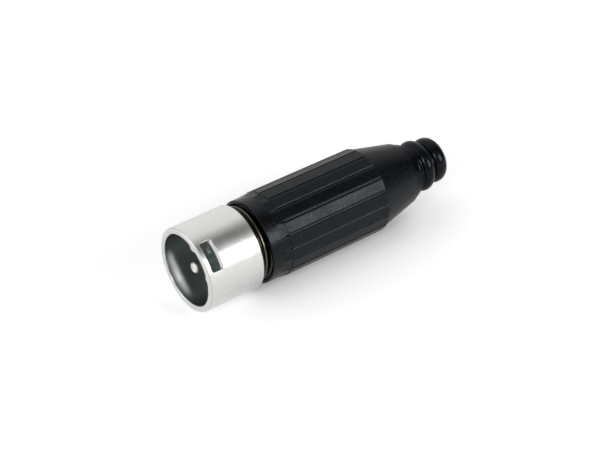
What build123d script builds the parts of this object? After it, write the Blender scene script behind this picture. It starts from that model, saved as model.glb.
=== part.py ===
from build123d import *
import os
from math import atan2, cos, degrees, radians, sin, tan

os.makedirs("parts", exist_ok=True)

# Three-pin male cable plug. Lengths are in millimetres and angles in degrees.
# X runs along the plug from the mating face to the cable end, Z is up, and the plug
# lies on one flat grip panel. The origin is the middle of the mating face.

# Turn of the key, the latch window and the pins about X, from straight up towards -Y
key_turn = 46.5

# Shell barrel
barrel_radius = 9.5
barrel_wall = 1.35
barrel_length = 13.5
rim_edge_break = 0.3
mouth_lead_in = 0.15
barrel_heel_break = 0.2

# Latch window through the barrel wall
window_start = 1.2
window_length = 2.75
window_width = 6.6
window_corner = 0.6
window_edge_break = 0.12

# Key rib inside the barrel
rib_start = 5.2
rib_width = 2.5
rib_height = 0.9

# Inner web that the insert seats on
web_lap = 1.2
web_thickness = 1.4
web_step = 0.35

# Threaded neck, drawn at the root of its fine thread
neck_length = 10.0
neck_step = 1.4
neck_wall = 0.85
thread_height = 0.4
thread_clearance = 0.08
neck_end_break = 0.3

# Insert
insert_body_length = 6.8
insert_face_proud = 0.2
insert_boss_step = 1.6
insert_boss_length = 1.5
insert_clearance = 0.05

# Pins
pin_radius = 1.2
pin_recess = 3.5
pin_tip_break = 0.25
pin_row_height = 0.3
pin_3_inset = 0.03
pin_clearance = 0.02
pin_shank_radius = 1.38
cup_radius = 1.45
cup_bore_radius = 1.0
cup_gap = 0.64
cup_bore_depth = 4.5
cup_open_length = 3.2
cup_length = 5.5
cup_seat_depth = 2.5

# Ground tag, a bent strip on the key side of the insert
tag_width = 3.0
tag_thickness = 0.4
tag_clearance = 0.03
tag_front_gap = 0.5
tag_contact_length = 4.4
tag_bend_length = 1.2
tag_bend_radius = 0.5
tag_tab_drop = 2.16
tag_end_gap = 1.0
tag_hole_radius = 0.7
tag_hole_inset = 1.4

# Cable clamp
clamp_seat_gap = 0.05
clamp_fit = 0.08
skirt_wall = 1.3
jaw_neck_length = 2.4
jaw_neck_lead = 6.0
jaw_bore_gap = 0.2
jaw_end_gap = 1.2
jaw_clearance = 0.12
jaw_slot_lead = 2.0
jaw_slot_width = 1.1
tooth_height = 0.25
tooth_length = 1.2
tooth_count = 3
tooth_pitch = 2.4
tooth_end_margin = 1.2
lug_width = 2.4
lug_length = 2.0
lug_height = 0.8
lug_clearance = 0.06

# Backshell, outside
collar_gap = 2.4
collar_length = 3.0
collar_inset = 0.05
collar_edge_break = 0.12
panel_count = 20
panel_front_inset = 0.03
panel_ramp_length = 1.9
panel_step = 0.12
panel_rise = 0.23
panel_length = 27.6
panel_taper = 0.11
groove_radius = 0.65
groove_depth = 0.24
groove_overrun = 0.05
cone_step = 0.19
cone_length = 9.9
backshell_end_radius = 7.05

# Backshell, inside
collar_bore_break = 0.25
thread_bore_relief = 1.3
sleeve_gap = 0.38
closing_cone_length = 6.5
closing_cone_angle = 18.0
closing_cone_gap = 3.9
boot_seat_length = 3.0
boot_lip_length = 4.0

# Boot
cable_bore_radius = 3.2
boot_flange_radius = 6.1
boot_stem_radius = 5.2
boot_clearance = 0.05
boot_front_inset = 0.1
boot_cone_length = 2.1
boot_cone_taper = 0.67
groove_1_length = 1.35
groove_1_radius = 4.75
ring_1_length = 3.0
ring_1_radius = 5.85
groove_2_length = 0.55
groove_2_radius = 4.3
ring_2_length = 3.6
ring_2_radius = 5.2
ring_edge_break = 0.5
ring_depth = 2.0

# Worked out from the values above
bore_radius = barrel_radius - barrel_wall
thread_root_radius = barrel_radius - neck_step
neck_bore_radius = thread_root_radius - neck_wall
neck_end = barrel_length + neck_length
cavity_depth = barrel_length - web_lap
insert_seat = cavity_depth + web_thickness
insert_radius = neck_bore_radius - insert_clearance
insert_boss_radius = insert_radius - insert_boss_step
web_bore_radius = neck_bore_radius - web_step
insert_nose_radius = web_bore_radius - insert_clearance
insert_shoulder = insert_seat + insert_body_length
insert_end = insert_shoulder + insert_boss_length
pin_end = insert_end + cup_length
cup_start = insert_end - cup_seat_depth
insert_face = cavity_depth - insert_face_proud
tag_front = insert_seat + tag_front_gap
tag_bend_start = tag_front + tag_contact_length
tag_bend_end = tag_bend_start + tag_bend_length
tag_end = pin_end - tag_end_gap
tag_top = (neck_bore_radius**2 - (tag_width / 2) ** 2) ** 0.5 - tag_clearance
tag_contact_height = tag_top - tag_thickness / 2
tag_tab_height = tag_contact_height - tag_tab_drop
clamp_front = insert_shoulder + clamp_seat_gap
clamp_radius = neck_bore_radius - clamp_fit
wire_chamber_radius = clamp_radius - skirt_wall
lug_radius = clamp_radius + lug_height
pin_half_pitch = wire_chamber_radius - cup_gap - cup_radius
pin_3_drop = pin_half_pitch - pin_3_inset
collar_front = barrel_length + collar_gap
collar_radius = barrel_radius - collar_inset
panel_front = collar_front + collar_length
panel_step_at = panel_front + panel_ramp_length
groove_lift = groove_radius - groove_depth
panel_end = panel_front + panel_length
panel_front_apothem = collar_radius - panel_front_inset
panel_apothem = collar_radius + panel_rise
panel_end_apothem = panel_apothem - panel_taper
cone_front_radius = panel_end_apothem - cone_step
backshell_end = panel_end + cone_length
boot_seat_end = backshell_end - boot_lip_length
boot_seat_start = boot_seat_end - boot_seat_length
thread_bore_radius = thread_root_radius + thread_height + thread_clearance
thread_bore_end = neck_end + thread_bore_relief
sleeve_bore_radius = clamp_radius + sleeve_gap
closing_cone_end = boot_seat_start - closing_cone_gap
closing_cone_start = closing_cone_end - closing_cone_length
closing_slope = tan(radians(closing_cone_angle))
closing_end_radius = sleeve_bore_radius - closing_cone_length * closing_slope
wire_chamber_end = closing_cone_start - jaw_neck_lead
jaw_slot_start = wire_chamber_end - jaw_slot_lead
jaw_bore_radius = cable_bore_radius + jaw_bore_gap
clamp_cone_start = closing_cone_start + (sleeve_bore_radius - jaw_clearance - clamp_radius) / closing_slope
jaw_end = closing_cone_end - jaw_end_gap
jaw_end_radius = closing_end_radius + jaw_end_gap * closing_slope - jaw_clearance
corner_factor = 1 / cos(radians(180 / panel_count))
boot_front_radius = backshell_end_radius - boot_front_inset
boot_cone_end = backshell_end + boot_cone_length
boot_cone_end_radius = boot_front_radius - boot_cone_taper
ring_1_start = boot_cone_end + groove_1_length
ring_1_middle = ring_1_start + ring_1_length / 2
ring_2_start = ring_1_start + ring_1_length + groove_2_length
ring_2_middle = ring_2_start + ring_2_length / 2
tag_half_slot = tag_thickness / 2 + tag_clearance
key_up = Vector(0, -sin(radians(key_turn)), cos(radians(key_turn)))
key_right = Vector(0, -cos(radians(key_turn)), -sin(radians(key_turn)))

# Pin axes as height towards the key and distance to the right, seen from the mating side
pin_places = {
    "pin_1": (pin_row_height, -pin_half_pitch),
    "pin_2": (pin_row_height, pin_half_pitch),
    "pin_3": (-pin_3_drop, 0.0),
}


def keyed_plane(x):
    """Cross-section at x, with its own x towards the key and its own y to the right."""
    return Plane(origin=(x, 0, 0), x_dir=key_up, z_dir=(1, 0, 0))


def flat_plane(x):
    """Cross-section at x, with its own x straight up."""
    return Plane(origin=(x, 0, 0), x_dir=(0, 0, 1), z_dir=(1, 0, 0))


def panel_section(apothem):
    """Many-sided section with one flat facing straight down."""
    return RegularPolygon(apothem, panel_count, major_radius=False, rotation=180 / panel_count)


def rings_at(part, x, radius):
    """Circular edges about the plug's axis at one station and radius."""
    circles = part.edges().filter_by(GeomType.CIRCLE)
    return circles.filter_by(
        lambda edge: abs(edge.radius - radius) < 0.001 and abs(edge.arc_center.X - x) < 0.001
    )


def outer_edges(edges, radius):
    """Edges whose middle lies at one radius from the plug's axis."""
    return edges.filter_by(lambda edge: abs(Vector(0, edge.center().Y, edge.center().Z).length - radius) < 0.3)


# Shell
with BuildPart() as shell:
    with BuildSketch(Plane.XZ):
        with BuildLine():
            Polyline(
                (0, bore_radius),
                (0, barrel_radius),
                (barrel_length, barrel_radius),
                (barrel_length, thread_root_radius),
                (neck_end, thread_root_radius),
                (neck_end, neck_bore_radius),
                (insert_seat, neck_bore_radius),
                (insert_seat, web_bore_radius),
                (cavity_depth, web_bore_radius),
                (cavity_depth, bore_radius),
                close=True,
            )
        make_face()
    revolve(axis=Axis.X)
    chamfer(rings_at(shell, 0, barrel_radius), rim_edge_break)
    chamfer(rings_at(shell, 0, bore_radius), mouth_lead_in)
    chamfer(rings_at(shell, barrel_length, barrel_radius), barrel_heel_break)
    chamfer(rings_at(shell, neck_end, thread_root_radius), neck_end_break)
    # The key rib runs from the web towards the mouth
    with BuildSketch(keyed_plane(rib_start)):
        with Locations((bore_radius - rib_height / 2 + barrel_wall / 4, 0)):
            Rectangle(rib_height + barrel_wall / 2, rib_width)
    extrude(amount=cavity_depth - rib_start)
    # The window is cut straight in towards the axis
    window_middle = window_start + window_length / 2
    with BuildSketch(Plane(origin=(window_middle, 0, 0), x_dir=(1, 0, 0), z_dir=key_up)):
        RectangleRounded(window_length, window_width, window_corner)
    extrude(amount=barrel_radius + barrel_wall, mode=Mode.SUBTRACT)
    chamfer(outer_edges(shell.edges(Select.LAST), barrel_radius), window_edge_break)
    # Two open slots in the neck guide the lugs of the cable clamp
    with BuildSketch(keyed_plane(insert_shoulder - lug_clearance)):
        Rectangle(lug_width + 2 * lug_clearance, 2 * barrel_radius)
    extrude(amount=neck_end, mode=Mode.SUBTRACT)
shell.part.label = "shell"
export_step(shell.part, "parts/shell.step")

# Insert
with BuildPart() as insert:
    with BuildSketch(Plane.XZ):
        with BuildLine():
            Polyline(
                (insert_face, 0),
                (insert_face, insert_nose_radius),
                (insert_seat, insert_nose_radius),
                (insert_seat, insert_radius),
                (insert_shoulder, insert_radius),
                (insert_shoulder, insert_boss_radius),
                (insert_end, insert_boss_radius),
                (insert_end, 0),
                close=True,
            )
        make_face()
    revolve(axis=Axis.X)
    # Each pin has a hole for its shank and a wider seat for its solder cup
    with BuildSketch(keyed_plane(insert_face)):
        with Locations(*pin_places.values()):
            Circle(pin_shank_radius + pin_clearance)
    extrude(amount=cup_start - insert_face, mode=Mode.SUBTRACT)
    with BuildSketch(keyed_plane(cup_start)):
        with Locations(*pin_places.values()):
            Circle(cup_radius + pin_clearance)
    extrude(amount=cup_seat_depth, mode=Mode.SUBTRACT)
    # The slot for the ground tag is open outwards and to the back
    with BuildSketch(Plane(origin=(0, 0, 0), x_dir=(1, 0, 0), z_dir=key_right)):
        Polygon(
            (tag_front - tag_clearance, tag_contact_height - tag_half_slot),
            (tag_bend_start - tag_half_slot, tag_contact_height - tag_half_slot),
            (tag_bend_end - tag_half_slot, tag_tab_height - tag_half_slot),
            (insert_end, tag_tab_height - tag_half_slot),
            (insert_end, insert_radius + tag_thickness),
            (tag_front - tag_clearance, insert_radius + tag_thickness),
            align=None,
        )
    extrude(amount=tag_width / 2 + tag_clearance, both=True, mode=Mode.SUBTRACT)
insert.part.label = "insert"
export_step(insert.part, "parts/insert.step")

# Pins
for pin_name, (pin_up, pin_right) in pin_places.items():
    outward_angle = degrees(atan2(pin_right, pin_up))
    with BuildPart() as pin:
        with BuildSketch(keyed_plane(pin_recess)):
            with Locations((pin_up, pin_right)):
                Circle(pin_radius)
        extrude(amount=insert_face - pin_recess)
        chamfer(pin.edges().filter_by(GeomType.CIRCLE).sort_by(Axis.X)[0], pin_tip_break)
        with BuildSketch(keyed_plane(insert_face)):
            with Locations((pin_up, pin_right)):
                Circle(pin_shank_radius)
        extrude(amount=cup_start - insert_face)
        with BuildSketch(keyed_plane(cup_start)):
            with Locations((pin_up, pin_right)):
                Circle(cup_radius)
        extrude(amount=pin_end - cup_start)
        with BuildSketch(keyed_plane(pin_end - cup_bore_depth)):
            with Locations((pin_up, pin_right)):
                Circle(cup_bore_radius)
        extrude(amount=cup_bore_depth, mode=Mode.SUBTRACT)
        # The outward half of the cup is cut away so that a wire can be laid in
        with BuildSketch(keyed_plane(pin_end - cup_open_length)):
            with Locations((pin_up, pin_right)):
                Rectangle(
                    2 * cup_radius,
                    2 * cup_radius,
                    rotation=outward_angle,
                    align=(Align.MIN, Align.CENTER),
                )
        extrude(amount=cup_open_length, mode=Mode.SUBTRACT)
    pin.part.label = pin_name
    export_step(pin.part, f"parts/{pin_name}.step")

# Ground tag
with BuildPart() as ground_tag:
    with BuildSketch(Plane(origin=(0, 0, 0), x_dir=(1, 0, 0), z_dir=key_right)):
        with BuildLine():
            FilletPolyline(
                (tag_front, tag_contact_height),
                (tag_bend_start, tag_contact_height),
                (tag_bend_end, tag_tab_height),
                (tag_end, tag_tab_height),
                radius=tag_bend_radius,
            )
        trace(line_width=tag_thickness)
    extrude(amount=tag_width / 2, both=True)
    with BuildSketch(Plane(origin=(tag_end - tag_hole_inset, 0, 0), x_dir=(1, 0, 0), z_dir=key_up)):
        Circle(tag_hole_radius)
    extrude(amount=neck_bore_radius, mode=Mode.SUBTRACT)
ground_tag.part.label = "ground_tag"
export_step(ground_tag.part, "parts/ground_tag.step")

# Cable clamp
with BuildPart() as cable_clamp:
    with BuildSketch(Plane.XZ):
        with BuildLine():
            Polyline(
                (clamp_front, wire_chamber_radius),
                (clamp_front, clamp_radius),
                (clamp_cone_start, clamp_radius),
                (jaw_end, jaw_end_radius),
                (jaw_end, jaw_bore_radius),
                (wire_chamber_end + jaw_neck_length, jaw_bore_radius),
                (wire_chamber_end, wire_chamber_radius),
                close=True,
            )
        make_face()
    revolve(axis=Axis.X)
    # Gripping teeth are rings of triangular section, counted from the cable end
    with BuildSketch(Plane.XZ):
        for tooth in range(tooth_count):
            tooth_middle = jaw_end - tooth_end_margin - tooth * tooth_pitch
            Polygon(
                (tooth_middle - tooth_length / 2, jaw_bore_radius + tooth_height),
                (tooth_middle, jaw_bore_radius - tooth_height),
                (tooth_middle + tooth_length / 2, jaw_bore_radius + tooth_height),
                align=None,
            )
    revolve(axis=Axis.X)
    # Two crossing slots leave four jaws on one ring
    with BuildSketch(keyed_plane(jaw_slot_start)):
        Rectangle(2 * clamp_radius, jaw_slot_width)
        Rectangle(jaw_slot_width, 2 * clamp_radius)
    extrude(amount=jaw_end - jaw_slot_start, mode=Mode.SUBTRACT)
    # Two lugs slide in the slots of the shell's neck
    with BuildSketch(keyed_plane(clamp_front)):
        with Locations((0, wire_chamber_radius + skirt_wall / 2), (0, -wire_chamber_radius - skirt_wall / 2)):
            Rectangle(lug_width, 2 * (lug_radius - wire_chamber_radius - skirt_wall / 2))
    extrude(amount=lug_length)
    with BuildSketch(keyed_plane(clamp_front)):
        Circle(wire_chamber_radius)
    extrude(amount=lug_length, mode=Mode.SUBTRACT)
cable_clamp.part.label = "cable_clamp"
export_step(cable_clamp.part, "parts/cable_clamp.step")

# Backshell
with BuildPart() as backshell:
    with BuildSketch(Plane.XZ):
        with BuildLine():
            Polyline(
                (collar_front, 0),
                (collar_front, collar_radius),
                (panel_end, collar_radius),
                (panel_end, cone_front_radius),
                (backshell_end, backshell_end_radius),
                (backshell_end, 0),
                close=True,
            )
        make_face()
    revolve(axis=Axis.X)
    chamfer(rings_at(backshell, collar_front, collar_radius), collar_edge_break)
    # The flat panels rise on a short ramp, then run at a slight taper to a square end
    with BuildSketch(flat_plane(panel_front)):
        panel_section(panel_front_apothem)
    with BuildSketch(flat_plane(panel_step_at)):
        panel_section(panel_apothem - panel_step)
    loft()
    with BuildSketch(flat_plane(panel_step_at)):
        panel_section(panel_apothem)
    with BuildSketch(flat_plane(panel_end)):
        panel_section(panel_end_apothem)
    loft()
    # A shallow round groove follows each corner between two panels
    groove_run = Vector(panel_end - panel_step_at, 0, (panel_end_apothem - panel_apothem) * corner_factor)
    groove_rise = -groove_run.Z / groove_run.X * panel_ramp_length
    for groove in range(panel_count):
        groove_turn = (groove + 0.5) * 360 / panel_count
        groove_start = Vector(panel_front, 0, panel_apothem * corner_factor + groove_rise)
        with BuildSketch(
            Plane(
                origin=groove_start.rotate(Axis.X, groove_turn),
                x_dir=Vector(0, 1, 0).rotate(Axis.X, groove_turn),
                z_dir=groove_run.rotate(Axis.X, groove_turn),
            )
        ):
            with Locations((0, groove_lift)):
                Circle(groove_radius)
        extrude(amount=panel_end - panel_front + groove_overrun, mode=Mode.SUBTRACT)
    # Inside: thread bore, sleeve, closing cone for the jaws, then the seat and lip of the boot
    with BuildSketch(Plane.XZ):
        with BuildLine():
            Polyline(
                (collar_front, 0),
                (collar_front, thread_bore_radius + collar_bore_break),
                (collar_front + collar_bore_break, thread_bore_radius),
                (thread_bore_end, thread_bore_radius),
                (thread_bore_end, sleeve_bore_radius),
                (closing_cone_start, sleeve_bore_radius),
                (closing_cone_end, closing_end_radius),
                (boot_seat_start, closing_end_radius),
                (boot_seat_start, boot_flange_radius + boot_clearance),
                (boot_seat_end, boot_flange_radius + boot_clearance),
                (boot_seat_end, boot_stem_radius + boot_clearance),
                (backshell_end, boot_stem_radius + boot_clearance),
                (backshell_end, 0),
                close=True,
            )
        make_face()
    revolve(axis=Axis.X, mode=Mode.SUBTRACT)
backshell.part.label = "backshell"
export_step(backshell.part, "parts/backshell.step")

# Boot
with BuildPart() as boot:
    with BuildSketch(Plane.XZ):
        with BuildLine():
            Polyline(
                (boot_seat_start, 0),
                (boot_seat_start, boot_flange_radius),
                (boot_seat_end, boot_flange_radius),
                (boot_seat_end, boot_stem_radius),
                (backshell_end, boot_stem_radius),
                (backshell_end, boot_front_radius),
                (boot_cone_end, boot_cone_end_radius),
                (boot_cone_end, groove_1_radius),
                (ring_1_middle, groove_1_radius),
                (ring_1_middle, groove_2_radius),
                (ring_2_middle, groove_2_radius),
                (ring_2_middle, 0),
                close=True,
            )
        make_face()
    revolve(axis=Axis.X)
    # Two rings with broken edges, the second of which is the boot's end
    with BuildSketch(Plane.XZ) as rings:
        with Locations((ring_1_middle, ring_1_radius - ring_depth / 2)):
            Rectangle(ring_1_length, ring_depth)
        with Locations((ring_2_middle, ring_2_radius - ring_depth / 2)):
            Rectangle(ring_2_length, ring_depth)
        chamfer(rings.vertices(), ring_edge_break)
    revolve(axis=Axis.X)
    with BuildSketch(keyed_plane(boot_seat_start)):
        Circle(cable_bore_radius)
    extrude(amount=ring_2_start + ring_2_length - boot_seat_start, mode=Mode.SUBTRACT)
boot.part.label = "boot"
export_step(boot.part, "parts/boot.step")
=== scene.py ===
"""Looks of a three-pin cable plug that lies on one flat grip panel on a white floor.

Lengths are in metres in the shared frame: X runs from the mating face to the cable end, Z is up.
"""

import math

import bpy
from mathutils import Matrix, Vector


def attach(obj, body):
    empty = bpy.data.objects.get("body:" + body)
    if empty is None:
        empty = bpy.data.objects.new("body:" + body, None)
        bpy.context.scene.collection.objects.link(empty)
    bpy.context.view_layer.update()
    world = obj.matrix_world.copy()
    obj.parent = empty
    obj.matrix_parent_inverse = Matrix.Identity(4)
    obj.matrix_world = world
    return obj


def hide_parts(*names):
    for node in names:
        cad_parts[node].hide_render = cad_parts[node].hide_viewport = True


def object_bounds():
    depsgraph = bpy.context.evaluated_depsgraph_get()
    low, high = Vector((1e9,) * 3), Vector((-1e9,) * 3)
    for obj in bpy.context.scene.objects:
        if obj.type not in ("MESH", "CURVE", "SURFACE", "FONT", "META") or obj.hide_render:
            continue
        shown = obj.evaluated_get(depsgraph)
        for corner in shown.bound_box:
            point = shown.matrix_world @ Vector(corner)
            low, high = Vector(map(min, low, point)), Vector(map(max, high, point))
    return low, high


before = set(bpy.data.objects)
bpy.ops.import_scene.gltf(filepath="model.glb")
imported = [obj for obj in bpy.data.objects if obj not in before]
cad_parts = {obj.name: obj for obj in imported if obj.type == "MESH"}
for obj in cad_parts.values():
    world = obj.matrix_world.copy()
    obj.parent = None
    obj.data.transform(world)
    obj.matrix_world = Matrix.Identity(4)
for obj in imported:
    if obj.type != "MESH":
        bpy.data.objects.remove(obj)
cad_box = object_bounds()

MM = 0.001
PLUG_MIDDLE = Vector((0.0335, 0.0, 0.0))

# Camera, from the rim's ellipses and the silhouette of the photographed plug
CAMERA_PLACE = (-0.186222, -0.312574, 0.266037)
CAMERA_HEADING = 34.608
CAMERA_DIP = 35.179
CAMERA_ROLL = -2.899
CAMERA_LENS = 129.65
SENSOR_WIDTH = 36.0

# Thread on the neck, a ridge of trapezoid section whose crest is at one given X at one given turn
THREAD_START = 13.9 * MM
THREAD_END = 23.2 * MM
THREAD_PITCH = 1.5 * MM
THREAD_ROOT = 8.1 * MM
THREAD_CREST = 8.5 * MM
THREAD_CREST_AT = 14.95 * MM
THREAD_CREST_TURN = 58.0
THREAD_CREST_WIDTH = 0.25 * MM
THREAD_ROOT_WIDTH = 0.95 * MM
THREAD_SUNK = 0.05 * MM
THREAD_STEPS_A_TURN = 96
THREAD_FADE_STEPS = 20
THREAD_CREASE = 30.0

# Boot, turned about X
BOOT_START = 49.4 * MM
BOOT_FLANGE_END = 52.4 * MM
BOOT_CONE_START = 56.4 * MM
BOOT_CONE_END = 58.5 * MM
RING_1_START = 59.85 * MM
RING_1_END = 62.85 * MM
RING_2_START = 63.4 * MM
BOOT_END = 67.0 * MM
BOOT_BORE_RADIUS = 3.2 * MM
BOOT_FLANGE_RADIUS = 6.1 * MM
BOOT_STEM_RADIUS = 5.2 * MM
BOOT_CONE_RADIUS = 6.95 * MM
BOOT_CONE_END_RADIUS = 6.28 * MM
GROOVE_1_RADIUS = 4.75 * MM
RING_1_RADIUS = 5.85 * MM
GROOVE_2_RADIUS = 4.3 * MM
RING_2_RADIUS = 5.2 * MM
SEAM_WIDTH = 0.16 * MM
SEAM_DEPTH = 0.25 * MM
BOOT_CONE_ROUND = 0.6 * MM
GROOVE_ROUND = 0.4 * MM
RING_ROUND = 1.4 * MM
END_ROUND = 1.9 * MM
MOUTH_BREAK = 0.08 * MM
BOOT_SIDES = 128
ROUND_STEPS = 8
BOOT_CREASE = 40.0

# Pointed tips that carry the grooves of the backshell forward over the ramp
PANEL_COUNT = 20
PANEL_START = 20.8 * MM
RAMP_RADIUS = 9.5 * MM
TIP_START = 19.1 * MM
TIP_HALF_WIDTH = 0.42 * MM
TIP_SLOPE = 0.8
# Strength of the painted highlight along the edges of the tips
LIP_GLINT_GAIN = 1.6

# Stretches of X over which a look changes
RIM_FACE_SPAN = (0.27 * MM, 0.30 * MM)
PIN_TIP_SPAN = (3.7 * MM, 4.3 * MM)
NECK_SPAN = (13.5 * MM, 13.65 * MM)
COLLAR_SPAN = (18.5 * MM, 18.9 * MM)
TIP_BEGIN_SPAN = (TIP_START, TIP_START + 0.2 * MM)
RAMP_END_SPAN = (PANEL_START - 0.05 * MM, PANEL_START)
BOOT_CONE_SPAN = (BOOT_CONE_END - 0.3 * MM, BOOT_CONE_END + 0.3 * MM)

# Distances over which a look changes, from the plug's axis and, for the painted highlight on a tip's edge,
# from that edge
BORE_SPAN = (8.25 * MM, 8.45 * MM)
CREST_SPAN = ((THREAD_ROOT + THREAD_CREST) / 2, THREAD_CREST)
RIM_LINE_SPAN = (9.34 * MM, 9.38 * MM)
LIP_GLINT_SPAN = (0.04 * MM, 0.12 * MM)

# Cosine between the rounded and the true normal, from no edge to a full one
EDGE_SPAN = (0.98, 0.85)
# Values of a noise that a range is spread over
NOISE_SPAN = (0.3, 0.7)
WEAR_AND_GLINT_NOISE_SPAN = (0.35, 0.6)
UNEVEN_NOISE_SPAN = (0.35, 0.65)

# Black moulding
WEAR_AND_GLINT_LEAST = 0.5
UNEVEN_ROUGHNESS = 0.03
COLLAR_SMOOTHER = 0.06
FINE_SHARE = 0.6

# Roughness where it is even
BORE_ROUGHNESS = 0.22
PIN_TIP_ROUGHNESS = 0.5

# Sheen of the black rubber on the cone and on the rings
CONE_SHEEN = 0.06
RING_SHEEN = 0.18

TURNING_PITCH = 0.12 * MM

# Colours as linear red, green and blue, and pairs of colours that a noise mixes
WHITE = (1.0, 1.0, 1.0)
COOL_WHITE = (0.93, 0.97, 1.0)
SATIN_NICKEL = ((0.75, 0.745, 0.725), (0.80, 0.80, 0.785))
# Nickel of the bore, darker and cooler than the barrel's, as painted shade inside the bore
BORE_NICKEL_PAINTED_SHADE = (0.70, 0.72, 0.73)
RIM_LINE_NICKEL = (0.54, 0.52, 0.51)
# Painted shade on the neck's thread in the gap between barrel and collar: a dark crest and a darker root
THREAD_ROOT_PAINTED_SHADE = (0.020, 0.018, 0.014)
THREAD_CREST_PAINTED_SHADE = (0.14, 0.13, 0.11)
INSULATOR = ((0.100, 0.165, 0.130), (0.125, 0.195, 0.155))
SILVER_PLATE = ((0.90, 0.88, 0.83), (0.96, 0.945, 0.91))
TINNED_STRIP = ((0.66, 0.64, 0.60), (0.78, 0.77, 0.74))
NYLON = ((0.045, 0.046, 0.048), (0.06, 0.061, 0.063))
BLACK_MOULDING = ((0.0006, 0.0008, 0.0011), (0.0024, 0.0029, 0.0034))
# Paler colour of the moulding's edges, partly rubbed wear and partly painted highlight
RUBBED_AND_GLINT_MOULDING = (0.026, 0.029, 0.033)
BLACK_RUBBER = ((0.0016, 0.0020, 0.0030), (0.0036, 0.0042, 0.0056))
# Painted cool tint on the reflections of the black moulding and rubber, standing in for the cool colour of
# the light
PAINTED_COOL_SHEEN = (0.80, 0.90, 1.0)
FLOOR_COLOUR = (0.94, 0.94, 0.935)

# Floor, lifted to white; the lift is least close to the plug, which paints a deep contact shadow there
FLOOR_SIZE = 2.4
FLOOR_LIFT = 0.32
FLOOR_GLOSSY_SHARE = 0.4
FLOOR_PAINTED_SHADOW_HALF = 15.0 * MM
FLOOR_PAINTED_SHADOW_SPAN = (3.0 * MM, 12.0 * MM)
FLOOR_PAINTED_SHADOW_LEAST = 0.35

# Brightness of the tent by the angle about X, from +Y over the top to -Y
TENT = [
    (0.0, 0.93),
    (69.0, 0.88),
    (90.0, 0.34),
    (100.0, 0.15),
    (114.0, 0.17),
    (125.0, 0.55),
    (150.0, 0.50),
    (180.0, 0.38),
]
# The tent darkens towards +X, most of all on the -Y side, and is brighter towards -X
TENT_END_SPAN = (0.50, 0.80)
TENT_END_SIDE_SPAN = (0.2, -0.4)
TENT_END_LEAST = 0.4
TENT_END_LOSS = 0.85
TENT_FRONT_SPAN = (-0.45, -0.80)
TENT_FRONT_GAIN = 0.6

SOFTBOX_DISTANCE = 0.9

# The mix node's sockets for its two values and its result, by the kind of value
MIX_SOCKETS = {"FLOAT": (2, 3, 0), "RGBA": (6, 7, 2)}


def add_camera():
    """The camera of the photograph."""
    data = bpy.data.cameras.new("camera")
    data.lens = CAMERA_LENS
    data.sensor_width = SENSOR_WIDTH
    camera = bpy.data.objects.new("camera", data)
    heading = Matrix.Rotation(math.radians(-CAMERA_HEADING), 4, "Z")
    dip = Matrix.Rotation(math.radians(90.0 - CAMERA_DIP), 4, "X")
    roll = Matrix.Rotation(math.radians(CAMERA_ROLL), 4, "Z")
    camera.matrix_world = Matrix.Translation(CAMERA_PLACE) @ heading @ dip @ roll
    bpy.context.scene.collection.objects.link(camera)
    bpy.context.scene.camera = camera


def add_softbox(name, direction, width, height, radiance, colour):
    """A rectangular lamp that faces the plug, with its brightness given as radiance."""
    data = bpy.data.lights.new(name, "AREA")
    data.shape = "RECTANGLE"
    data.size = width
    data.size_y = height
    data.energy = radiance * math.pi * width * height
    data.color = colour
    lamp = bpy.data.objects.new(name, data)
    away = Vector(direction).normalized() * SOFTBOX_DISTANCE
    lamp.location = PLUG_MIDDLE + away
    lamp.rotation_euler = away.to_track_quat("Z", "Y").to_euler()
    bpy.context.scene.collection.objects.link(lamp)


class Tree:
    """A short way to write a procedural node tree."""

    def __init__(self, tree, space):
        self.tree = tree
        self.place = self.node("ShaderNodeTexCoord").outputs[space]
        split = self.node("ShaderNodeSeparateXYZ")
        self.link(self.place, split.inputs[0])
        self.x, self.y, self.z = split.outputs

    def node(self, kind, **values):
        """A node with its plain settings."""
        made = self.tree.nodes.new(kind)
        for key, value in values.items():
            setattr(made, key, value)
        return made

    def link(self, output, socket):
        """Link an output to a socket."""
        self.tree.links.new(output, socket)

    def feed(self, socket, value):
        """Set a socket to a number or a colour, or link an output to it."""
        if isinstance(value, bpy.types.NodeSocket):
            self.link(value, socket)
        elif isinstance(value, tuple):
            socket.default_value = (*value, 1.0)
        else:
            socket.default_value = value

    def maths(self, operation, first, second=0.0):
        """One step of arithmetic."""
        made = self.node("ShaderNodeMath", operation=operation)
        self.feed(made.inputs[0], first)
        self.feed(made.inputs[1], second)
        return made.outputs[0]

    def spread(self, value, span, start=0.0, end=1.0, smooth=True):
        """Go from the start to the end as a value goes through the span."""
        kind = "SMOOTHSTEP" if smooth else "LINEAR"
        made = self.node("ShaderNodeMapRange", clamp=True, interpolation_type=kind)
        self.link(value, made.inputs["Value"])
        made.inputs["From Min"].default_value, made.inputs["From Max"].default_value = span
        made.inputs["To Min"].default_value = start
        made.inputs["To Max"].default_value = end
        return made.outputs["Result"]

    def mix(self, share, first, second, kind="RGBA"):
        """Mix two colours, or two numbers where the kind is FLOAT."""
        made = self.node("ShaderNodeMix", data_type=kind)
        first_at, second_at, result_at = MIX_SOCKETS[kind]
        self.feed(made.inputs["Factor"], share)
        self.feed(made.inputs[first_at], first)
        self.feed(made.inputs[second_at], second)
        return made.outputs[result_at]


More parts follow.
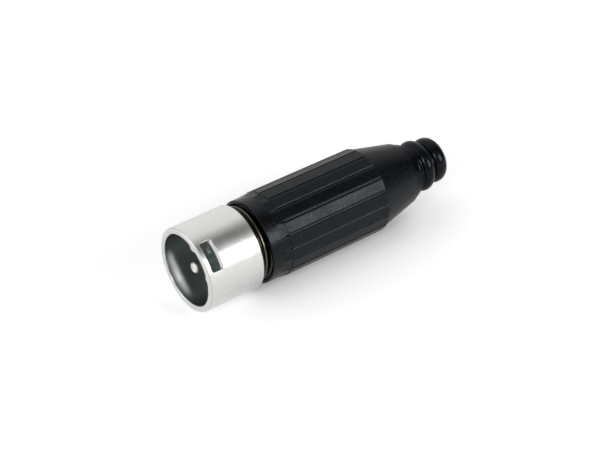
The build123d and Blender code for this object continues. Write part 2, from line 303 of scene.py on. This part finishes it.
class Surface(Tree):
    """A new material with a principled shader, placed by the object's own coordinates."""

    def __init__(self, name):
        self.material = bpy.data.materials.new(name)
        self.material.use_nodes = True
        super().__init__(self.material.node_tree, "Object")
        self.bsdf = self.tree.nodes["Principled BSDF"]

    def noise(self, scale, detail=3.0, roughness=0.55):
        """Noise from 0 to 1, with scale in features a metre."""
        made = self.node("ShaderNodeTexNoise")
        self.link(self.place, made.inputs["Vector"])
        made.inputs["Scale"].default_value = scale
        made.inputs["Detail"].default_value = detail
        made.inputs["Roughness"].default_value = roughness
        return made.outputs["Fac"]

    def vary(self, noise, least, most):
        """Go from the least to the most with a noise."""
        return self.spread(noise, NOISE_SPAN, least, most)

    def radius(self):
        """Distance of the surface point from the plug's axis."""
        squares = [self.maths("POWER", part, 2.0) for part in (self.y, self.z)]
        return self.maths("SQRT", self.maths("ADD", *squares))

    def rounded(self, radius, samples=8):
        """The normal as if the edges were rounded."""
        bevel = self.node("ShaderNodeBevel", samples=samples)
        bevel.inputs["Radius"].default_value = radius
        return bevel.outputs[0]

    def edge(self, rounded):
        """Mask that is 1 where the rounded normal leaves the true one."""
        geometry = self.node("ShaderNodeNewGeometry")
        dot = self.node("ShaderNodeVectorMath", operation="DOT_PRODUCT")
        self.link(rounded, dot.inputs[0])
        self.link(geometry.outputs["True Normal"], dot.inputs[1])
        return self.spread(dot.outputs["Value"], EDGE_SPAN)

    def bump(self, height, distance, strength, normal=None):
        """The normal with a relief, on top of another normal where one is given."""
        made = self.node("ShaderNodeBump")
        made.inputs["Strength"].default_value = strength
        made.inputs["Distance"].default_value = distance
        self.link(height, made.inputs["Height"])
        if normal is not None:
            self.link(normal, made.inputs["Normal"])
        return made.outputs[0]

    def set(self, **values):
        """Set the shader's sockets by name, with underscores for spaces."""
        for key, value in values.items():
            self.feed(self.bsdf.inputs[key.replace("_", " ")], value)
        return self.material


def shell_material():
    """Satin nickel with a fine grain, smoother in the bore, with painted shade in the bore and on the neck's
    thread, darkest at the thread's root.
    """
    s = Surface("satin_nickel")
    grain = s.noise(scale=5200.0, roughness=0.6)
    cloud = s.noise(scale=260.0, detail=2.0)
    reach = s.radius()
    in_neck = s.spread(s.x, NECK_SPAN)
    in_bore = s.spread(reach, BORE_SPAN, start=1.0, end=0.0)
    on_crest = s.spread(reach, CREST_SPAN)
    on_rim_face = s.spread(s.x, RIM_FACE_SPAN, start=1.0, end=0.0)
    on_rim_line = s.maths("MULTIPLY", on_rim_face, s.spread(reach, RIM_LINE_SPAN))
    # Painted shade: the bore's wall takes a darker, cooler nickel
    barrel = s.mix(in_bore, s.mix(cloud, *SATIN_NICKEL), BORE_NICKEL_PAINTED_SHADE)
    lined = s.mix(on_rim_line, barrel, RIM_LINE_NICKEL)
    # Painted shade on the neck's thread, darker at its root than on its crest
    painted_thread_shade = s.mix(on_crest, THREAD_ROOT_PAINTED_SHADE, THREAD_CREST_PAINTED_SHADE)
    clouded = s.vary(cloud, least=0.23, most=0.28)
    outer_rough = s.maths("ADD", clouded, s.vary(grain, least=0.0, most=0.05))
    return s.set(
        Base_Color=s.mix(in_neck, lined, painted_thread_shade),
        Metallic=1.0,
        Roughness=s.mix(in_bore, outer_rough, BORE_ROUGHNESS, kind="FLOAT"),
        Normal=s.bump(grain, distance=0.010 * MM, strength=0.45, normal=s.rounded(0.12 * MM)),
    )


def insert_material():
    """Dark green-black moulded insulator."""
    s = Surface("insulator")
    cloud = s.noise(scale=420.0)
    return s.set(
        Base_Color=s.mix(cloud, *INSULATOR),
        Roughness=s.vary(cloud, least=0.30, most=0.38),
        Normal=s.bump(s.noise(scale=3000.0), distance=0.004 * MM, strength=0.4),
    )


def pin_material():
    """Silver-plated turned contact with faint turning rings and a duller tip."""
    s = Surface("silver_plate")
    cloud = s.noise(scale=500.0, detail=2.0)
    rings = s.maths("SINE", s.maths("MULTIPLY", s.x, 2 * math.pi / TURNING_PITCH))
    on_tip = s.spread(s.x, PIN_TIP_SPAN, start=1.0, end=0.0)
    shaft_rough = s.vary(cloud, least=0.14, most=0.2)
    return s.set(
        Base_Color=s.mix(cloud, *SILVER_PLATE),
        Metallic=1.0,
        Roughness=s.mix(on_tip, shaft_rough, PIN_TIP_ROUGHNESS, kind="FLOAT"),
        Normal=s.bump(rings, distance=0.0006 * MM, strength=0.5, normal=s.rounded(0.7 * MM)),
    )


def tag_material():
    """Tinned strip."""
    s = Surface("tinned_strip")
    cloud = s.noise(scale=600.0)
    return s.set(
        Base_Color=s.mix(cloud, *TINNED_STRIP),
        Metallic=1.0,
        Roughness=s.vary(cloud, least=0.3, most=0.42),
        Normal=s.bump(s.noise(scale=2500.0), distance=0.005 * MM, strength=0.5),
    )


def clamp_material():
    """Plain nylon with a faint moulded grain."""
    s = Surface("nylon")
    cloud = s.noise(scale=380.0)
    return s.set(
        Base_Color=s.mix(cloud, *NYLON),
        Roughness=s.vary(cloud, least=0.42, most=0.55),
        Normal=s.bump(s.noise(scale=2600.0), distance=0.008 * MM, strength=0.6),
    )


def groove_tips(s):
    """Height of the tips, deepest where the ramp meets the panels, and a mask for a painted highlight along
    their edges.
    """
    turn = s.maths("ARCTAN2", s.y, s.z)
    share = s.maths("FRACT", s.maths("MULTIPLY", turn, PANEL_COUNT / (2 * math.pi)))
    off_middle = s.maths("ABSOLUTE", s.maths("SUBTRACT", share, 0.5))
    across = s.maths("MULTIPLY", off_middle, 2 * math.pi * RAMP_RADIUS / PANEL_COUNT)
    half = s.spread(s.x, (TIP_START, PANEL_START), end=TIP_HALF_WIDTH, smooth=False)
    inward = s.maths("SUBTRACT", half, across)
    on_ramp = s.spread(s.x, RAMP_END_SPAN, start=1.0, end=0.0)
    depth = s.maths("MULTIPLY", s.maths("MAXIMUM", inward, 0.0), on_ramp)
    # Painted highlight: a pale line along each tip's edge
    lip_glint = s.spread(s.maths("ABSOLUTE", inward), LIP_GLINT_SPAN, start=1.0, end=0.0)
    begun = s.spread(s.x, TIP_BEGIN_SPAN)
    height = s.maths("MULTIPLY", depth, -1.0)
    return height, s.maths("MULTIPLY", s.maths("MULTIPLY", lip_glint, on_ramp), begun)


def backshell_material():
    """Black moulded plastic with a fine mottle, paler edges that are partly rubbed wear and partly painted
    highlight, and pointed groove tips with a painted highlight along their edges.
    """
    s = Surface("black_moulding")
    mottle = s.noise(scale=1700.0, detail=5.0, roughness=0.65)
    cloud = s.noise(scale=220.0)
    fine = s.noise(scale=6500.0, detail=2.0, roughness=0.6)
    rounded = s.rounded(0.07 * MM)
    tips, lip_glints = groove_tips(s)
    # Paler edges, partly rubbed wear and partly painted highlight, together with the painted highlight on
    # the tips' edges
    wear_and_glint = s.maths("MULTIPLY", s.edge(rounded), s.spread(mottle, WEAR_AND_GLINT_NOISE_SPAN, start=WEAR_AND_GLINT_LEAST))
    pale = s.maths("MAXIMUM", wear_and_glint, s.maths("MULTIPLY", lip_glints, LIP_GLINT_GAIN))
    uneven = s.spread(cloud, UNEVEN_NOISE_SPAN, start=-UNEVEN_ROUGHNESS, end=UNEVEN_ROUGHNESS)
    rough = s.maths("ADD", s.vary(mottle, least=0.22, most=0.36), uneven)
    smoother_collar = s.spread(s.x, COLLAR_SPAN, start=-COLLAR_SMOOTHER, end=0.0)
    relief = s.maths("ADD", mottle, s.maths("MULTIPLY", fine, FINE_SHARE))
    tipped = s.bump(tips, distance=TIP_SLOPE, strength=1.0, normal=rounded)
    return s.set(
        Base_Color=s.mix(pale, s.mix(mottle, *BLACK_MOULDING), RUBBED_AND_GLINT_MOULDING),
        Roughness=s.maths("ADD", rough, smoother_collar),
        Specular_IOR_Level=0.25,
        # Painted cool tint on the reflections
        Specular_Tint=PAINTED_COOL_SHEEN,
        Normal=s.bump(relief, distance=0.035 * MM, strength=0.85, normal=tipped),
    )


def boot_material():
    """Glossy black rubber, duller on the cone."""
    s = Surface("black_rubber")
    cloud = s.noise(scale=300.0)
    rounded = s.rounded(0.1 * MM, samples=6)
    return s.set(
        Base_Color=s.mix(cloud, *BLACK_RUBBER),
        Roughness=s.vary(cloud, least=0.10, most=0.15),
        Specular_IOR_Level=s.spread(s.x, BOOT_CONE_SPAN, start=CONE_SHEEN, end=RING_SHEEN),
        # Painted cool tint on the reflections
        Specular_Tint=PAINTED_COOL_SHEEN,
        Normal=s.bump(s.noise(scale=2200.0), distance=0.004 * MM, strength=0.3, normal=rounded),
    )


def floor_material():
    """A pale matt surface, lifted to white for the camera and in part for reflections, with less lift close
    to the plug as a painted contact shadow.
    """
    s = Surface("white_floor")
    s.tree.nodes.remove(s.bsdf)
    diffuse = s.node("ShaderNodeBsdfDiffuse")
    s.feed(diffuse.inputs["Color"], FLOOR_COLOUR)
    lift = s.node("ShaderNodeEmission")
    s.feed(lift.inputs["Color"], WHITE)
    path = s.node("ShaderNodeLightPath")
    glossy = s.maths("MULTIPLY", path.outputs["Is Glossy Ray"], FLOOR_GLOSSY_SHARE)
    seen = s.maths("MAXIMUM", path.outputs["Is Camera Ray"], glossy)
    # Distance from a line under the plug, which is shorter than the plug, for the painted contact shadow
    along = s.maths("ABSOLUTE", s.maths("SUBTRACT", s.x, PLUG_MIDDLE.x))
    beyond = s.maths("MAXIMUM", s.maths("SUBTRACT", along, FLOOR_PAINTED_SHADOW_HALF), 0.0)
    squares = [s.maths("POWER", part, 2.0) for part in (beyond, s.y)]
    clear = s.maths("SQRT", s.maths("ADD", *squares))
    # Painted contact shadow: the lift falls close to the plug
    shade = s.spread(clear, FLOOR_PAINTED_SHADOW_SPAN, start=FLOOR_PAINTED_SHADOW_LEAST)
    strength = s.maths("MULTIPLY", s.maths("MULTIPLY", seen, FLOOR_LIFT), shade)
    s.feed(lift.inputs["Strength"], strength)
    both = s.node("ShaderNodeAddShader")
    s.link(diffuse.outputs[0], both.inputs[0])
    s.link(lift.outputs[0], both.inputs[1])
    s.link(both.outputs[0], s.tree.nodes["Material Output"].inputs["Surface"])
    return s.material


def add_world():
    """A pale tent over the plug with a dark strip overhead, and white behind all for the camera."""
    world = bpy.data.worlds.new("studio")
    world.use_nodes = True
    t = Tree(world.node_tree, "Generated")
    ramp = t.node("ShaderNodeValToRGB")
    t.link(t.maths("DIVIDE", t.maths("ARCTAN2", t.z, t.y), math.pi), ramp.inputs["Fac"])
    stops = ramp.color_ramp.elements
    for _ in TENT[len(stops):]:
        stops.new(1.0)
    for stop, (angle, level) in zip(stops, TENT):
        stop.position = angle / 180.0
        stop.color = (level, level, level, 1.0)
    far = t.spread(t.x, TENT_END_SPAN, end=TENT_END_LOSS)
    side = t.spread(t.y, TENT_END_SIDE_SPAN, start=TENT_END_LEAST)
    front = t.spread(t.x, TENT_FRONT_SPAN, start=1.0, end=1.0 + TENT_FRONT_GAIN)
    tent = t.tree.nodes["Background"]
    t.feed(tent.inputs["Color"], ramp.outputs["Color"])
    t.feed(tent.inputs["Strength"], t.maths("SUBTRACT", front, t.maths("MULTIPLY", far, side)))
    backdrop = t.node("ShaderNodeBackground")
    t.feed(backdrop.inputs["Color"], WHITE)
    path = t.node("ShaderNodeLightPath")
    choice = t.node("ShaderNodeMixShader")
    t.link(path.outputs["Is Camera Ray"], choice.inputs[0])
    t.link(tent.outputs[0], choice.inputs[1])
    t.link(backdrop.outputs[0], choice.inputs[2])
    t.link(choice.outputs[0], t.tree.nodes["World Output"].inputs["Surface"])
    bpy.context.scene.world = world


def add_mesh(name, points, faces, material):
    """A new object with one material."""
    mesh = bpy.data.meshes.new(name)
    mesh.from_pydata(points, [], faces)
    mesh.materials.append(material)
    made = bpy.data.objects.new(name, mesh)
    bpy.context.scene.collection.objects.link(made)
    return made


def shade_smooth(piece, crease):
    """Shade a piece smooth, apart from edges sharper than the crease in degrees."""
    piece.data.shade_smooth()
    piece.data.set_sharp_from_angle(angle=math.radians(crease))


def add_floor():
    """A square floor at the height of the plug's lowest point."""
    half = FLOOR_SIZE / 2
    low = cad_box[0][2]
    corners = [(x, y, low) for x, y in ((-half, -half), (half, -half), (half, half), (-half, half))]
    floor = add_mesh("floor", corners, [(0, 1, 2, 3)], floor_material())


def turned_point(x, turn, radius):
    """A point at one turn about X, measured from straight up towards -Y."""
    return (x, -radius * math.sin(turn), radius * math.cos(turn))


def fall(end, radius, size):
    """Quarter round from a ring's crest to its end, as (x, radius) points."""
    points = []
    for step in range(ROUND_STEPS + 1):
        turn = math.pi / 2 * step / ROUND_STEPS
        points.append((end - size * (1 - math.sin(turn)), radius - size * (1 - math.cos(turn))))
    return points


def rise(start, radius, size):
    """Quarter round from a ring's start to its crest, as (x, radius) points."""
    return [(start + (start - x), height) for x, height in reversed(fall(start, radius, size))]


def above(points, radius):
    """The points that stand above a groove's floor."""
    return [point for point in points if point[1] > radius]


def add_boot(material):
    """The rubber boot with its rounded rings, as one turned form."""
    outline = [
        (BOOT_START, BOOT_BORE_RADIUS),
        (BOOT_START, BOOT_FLANGE_RADIUS),
        (BOOT_FLANGE_END, BOOT_FLANGE_RADIUS),
        (BOOT_FLANGE_END, BOOT_STEM_RADIUS),
        (BOOT_CONE_START, BOOT_STEM_RADIUS),
        (BOOT_CONE_START, BOOT_CONE_RADIUS - SEAM_DEPTH),
        (BOOT_CONE_START + SEAM_WIDTH, BOOT_CONE_RADIUS - SEAM_DEPTH),
        (BOOT_CONE_START + SEAM_WIDTH, BOOT_CONE_RADIUS),
        *fall(BOOT_CONE_END, BOOT_CONE_END_RADIUS, BOOT_CONE_ROUND),
        (BOOT_CONE_END, GROOVE_1_RADIUS + GROOVE_ROUND),
        (BOOT_CONE_END + GROOVE_ROUND, GROOVE_1_RADIUS),
        (RING_1_START - GROOVE_ROUND, GROOVE_1_RADIUS),
        *above(rise(RING_1_START, RING_1_RADIUS, RING_ROUND), GROOVE_1_RADIUS),
        *above(fall(RING_1_END, RING_1_RADIUS, RING_ROUND), GROOVE_1_RADIUS),
        (RING_1_END, GROOVE_2_RADIUS),
        (RING_2_START, GROOVE_2_RADIUS),
        *above(rise(RING_2_START, RING_2_RADIUS, RING_ROUND), GROOVE_2_RADIUS),
        *fall(BOOT_END, RING_2_RADIUS, END_ROUND),
        (BOOT_END, BOOT_BORE_RADIUS + MOUTH_BREAK),
        (BOOT_END - MOUTH_BREAK, BOOT_BORE_RADIUS),
    ]
    count = len(outline)
    points = []
    faces = []
    for side in range(BOOT_SIDES):
        turn = 2 * math.pi * side / BOOT_SIDES
        points += [turned_point(x, turn, radius) for x, radius in outline]
        here = side * count
        ahead = (side + 1) % BOOT_SIDES * count
        for corner in range(count):
            beside = (corner + 1) % count
            faces.append((here + corner, here + beside, ahead + beside, ahead + corner))
    boot = add_mesh("boot_rubber", points, faces, material)
    shade_smooth(boot, BOOT_CREASE)
    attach(boot, "backshell")
    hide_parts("boot")


def add_thread(material):
    """The neck's thread as one ridge, wound right-handed and faded at both ends."""
    steps = round((THREAD_END - THREAD_START) / THREAD_PITCH * THREAD_STEPS_A_TURN)
    crest_turns = (THREAD_CREST_AT - THREAD_START) / THREAD_PITCH
    start_turn = math.radians(THREAD_CREST_TURN) + 2 * math.pi * crest_turns
    section = [
        (-THREAD_ROOT_WIDTH / 2, THREAD_ROOT - THREAD_SUNK),
        (-THREAD_CREST_WIDTH / 2, THREAD_CREST),
        (THREAD_CREST_WIDTH / 2, THREAD_CREST),
        (THREAD_ROOT_WIDTH / 2, THREAD_ROOT - THREAD_SUNK),
    ]
    count = len(section)
    points = []
    for step in range(steps + 1):
        turns = step / THREAD_STEPS_A_TURN
        turn = start_turn - 2 * math.pi * turns
        x = THREAD_START + THREAD_PITCH * turns
        fade = min(1.0, step / THREAD_FADE_STEPS, (steps - step) / THREAD_FADE_STEPS)
        for offset, radius in section:
            points.append(turned_point(x + offset, turn, THREAD_ROOT + (radius - THREAD_ROOT) * fade))
    faces = []
    for step in range(steps):
        for side in range(count - 1):
            first = step * count + side
            faces.append((first, first + 1, first + 1 + count, first + count))
    thread = add_mesh("neck_thread", points, faces, material)
    shade_smooth(thread, THREAD_CREASE)
    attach(thread, "plug")


bpy.context.scene.view_settings.view_transform = "Standard"
add_camera()
add_world()
add_floor()
add_softbox(
    "right_softbox", direction=(0.44, -0.80, 0.40), width=0.44, height=0.40, radiance=5.4, colour=WHITE
)
add_softbox(
    "front_softbox", direction=(-0.72, -0.46, 0.52), width=0.22, height=0.36, radiance=7.5, colour=COOL_WHITE
)

shell_look = shell_material()
pin_look = pin_material()
boot_look = boot_material()
looks = {
    "shell": shell_look,
    "insert": insert_material(),
    "pin_1": pin_look,
    "pin_2": pin_look,
    "pin_3": pin_look,
    "ground_tag": tag_material(),
    "cable_clamp": clamp_material(),
    "backshell": backshell_material(),
    "boot": boot_look,
}
for name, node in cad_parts.items():
    node.data.materials.clear()
    node.data.materials.append(looks[name])

add_thread(shell_look)
add_boot(boot_look)
